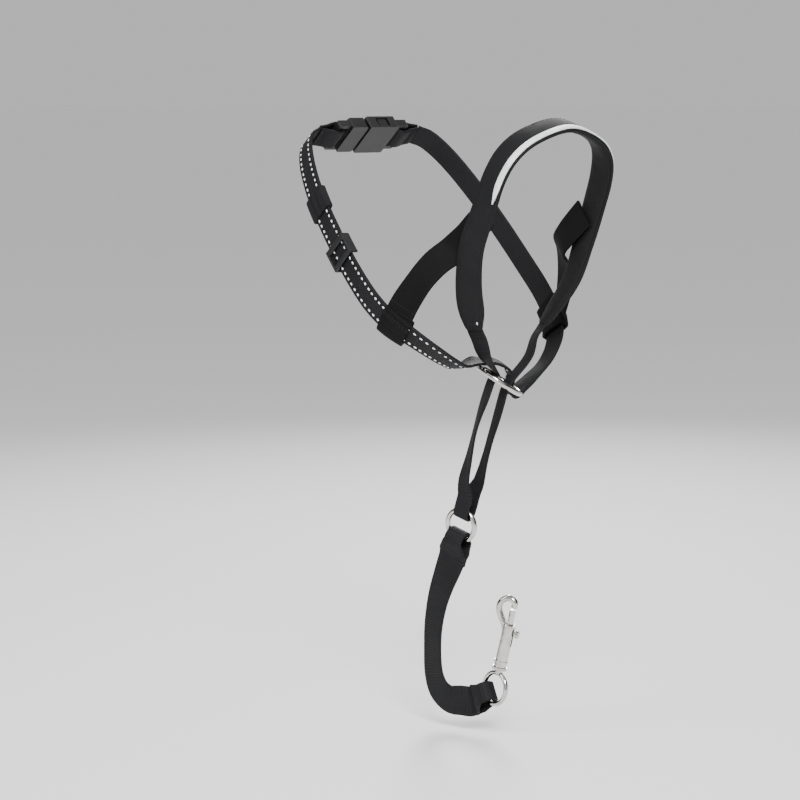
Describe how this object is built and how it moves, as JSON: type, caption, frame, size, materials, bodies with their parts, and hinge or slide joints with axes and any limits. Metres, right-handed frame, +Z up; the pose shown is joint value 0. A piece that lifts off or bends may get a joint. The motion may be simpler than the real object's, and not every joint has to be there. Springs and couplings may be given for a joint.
{
  "type": "dog head halter",
  "caption": "Padded nose band halter with cheek straps, neck webbing with buckle, slip ring, lead ring and a safety link ending in a swivel bolt snap.",
  "frame": {"origin": "middle of the nose loop, where the muzzle passes", "axes": "+X to the dog's left, +Y back along the head, +Z up; the nose points to -Y"},
  "size_m": [0.1378, 0.1963, 0.3579],
  "materials": {
    "band_fabric": "matt woven fabric",
    "padding": "soft knitted neoprene",
    "reflective": "silver white reflective tape",
    "webbing": "ribbed nylon webbing",
    "stretch_fabric": "smooth stretch binding",
    "plastic": "moulded acetal",
    "bright_steel": "bright nickel plate",
    "spring_steel": "spring wire"
  },
  "bodies": {
    "headpiece": {"noseband_shell": "band_fabric", "noseband_padding": "padding", "noseband_piping": "reflective", "nose_webbing_right": "webbing", "nose_webbing_left": "webbing", "cheek_strap_right": "stretch_fabric", "cheek_strap_left": "stretch_fabric", "cheek_sleeve_right": "stretch_fabric", "cheek_sleeve_left": "stretch_fabric", "neck_strap": "webbing", "neck_strap_upper": "webbing", "neck_strap_anchor": "webbing", "strap_keeper": "webbing", "buckle_female": "plastic"},
    "adjuster": {"strap_slider": "plastic"},
    "chin_ring": {"slip_ring": "bright_steel"},
    "tails": {"pull_tails": "webbing"},
    "lead_ring": {"lead_ring": "bright_steel"},
    "link": {"safety_link": "webbing"},
    "snap_eye": {"snap_eye": "bright_steel"},
    "snap": {"snap_body": "bright_steel", "snap_spring": "spring_steel"},
    "bolt": {"snap_bolt": "bright_steel"},
    "plug": {"buckle_male": "plastic", "neck_strap_end": "webbing"},
    "prong_upper": {"buckle_prong_upper": "plastic"},
    "prong_lower": {"buckle_prong_lower": "plastic"}
  },
  "joints": [
    {"name": "adjuster_slide", "type": "slide", "parent": "headpiece", "child": "adjuster", "axis": [-0.018, -0.685, -0.7283], "range_m": [-0.005, 0.005]},
    {"name": "chin_ring_tilt", "type": "hinge", "parent": "headpiece", "child": "chin_ring", "pos_m": [0.0015, 0.0252, -0.0754], "axis": [0.8589, -0.1375, -0.4933], "range_deg": [-4, 4]},
    {"name": "pull_slide", "type": "slide", "parent": "headpiece", "child": "tails", "axis": [0, 0.3499, -0.9368], "range_m": [0, 0.012], "deforming": ["nose_webbing_right", "nose_webbing_left"]},
    {"name": "lead_ring_swing", "type": "hinge", "parent": "tails", "child": "lead_ring", "pos_m": [0, 0.05345, -0.15529], "axis": [0.2867, -0.8974, -0.3352], "range_deg": [-35, 35]},
    {"name": "link_swing", "type": "hinge", "parent": "lead_ring", "child": "link", "pos_m": [0, 0.05995, -0.17271], "axis": [0.2867, -0.8974, -0.3352], "range_deg": [-35, 35]},
    {"name": "snap_swing", "type": "hinge", "parent": "link", "child": "snap_eye", "pos_m": [0.01153, 0.04762, -0.26552], "axis": [0.0829, 0.5045, 0.8594], "range_deg": [-50, 50]},
    {"name": "snap_swivel", "type": "hinge", "parent": "snap_eye", "child": "snap", "pos_m": [0.012, 0.0395, -0.2608], "axis": [0.095, -0.215, 0.972], "continuous": true},
    {"name": "bolt_slide", "type": "slide", "parent": "snap", "child": "bolt", "axis": [-0.095, 0.215, -0.972], "range_m": [0, 0.007], "stiffness_N_per_m": 150, "springref_m": -0.003, "deforming": ["snap_spring"]},
    {"name": "buckle_release", "type": "slide", "parent": "headpiece", "child": "plug", "axis": [-1, 0, 0], "range_m": [0, 0.022], "deforming": ["neck_strap_upper", "buckle_prong_upper", "buckle_prong_lower"]},
    {"name": "prong_upper_flex", "type": "hinge", "parent": "plug", "child": "prong_upper", "pos_m": [-0.0093, 0.14101, 0.06932], "axis": [0, 0.6549, 0.7557], "range_deg": [0, 6], "stiffness_Nm_per_rad": 0.12, "springref_deg": -2.86},
    {"name": "prong_lower_flex", "type": "hinge", "parent": "plug", "child": "prong_lower", "pos_m": [-0.0093, 0.15099, 0.06068], "axis": [0, -0.6549, -0.7557], "range_deg": [0, 6], "stiffness_Nm_per_rad": 0.12, "springref_deg": -2.86}
  ]
}
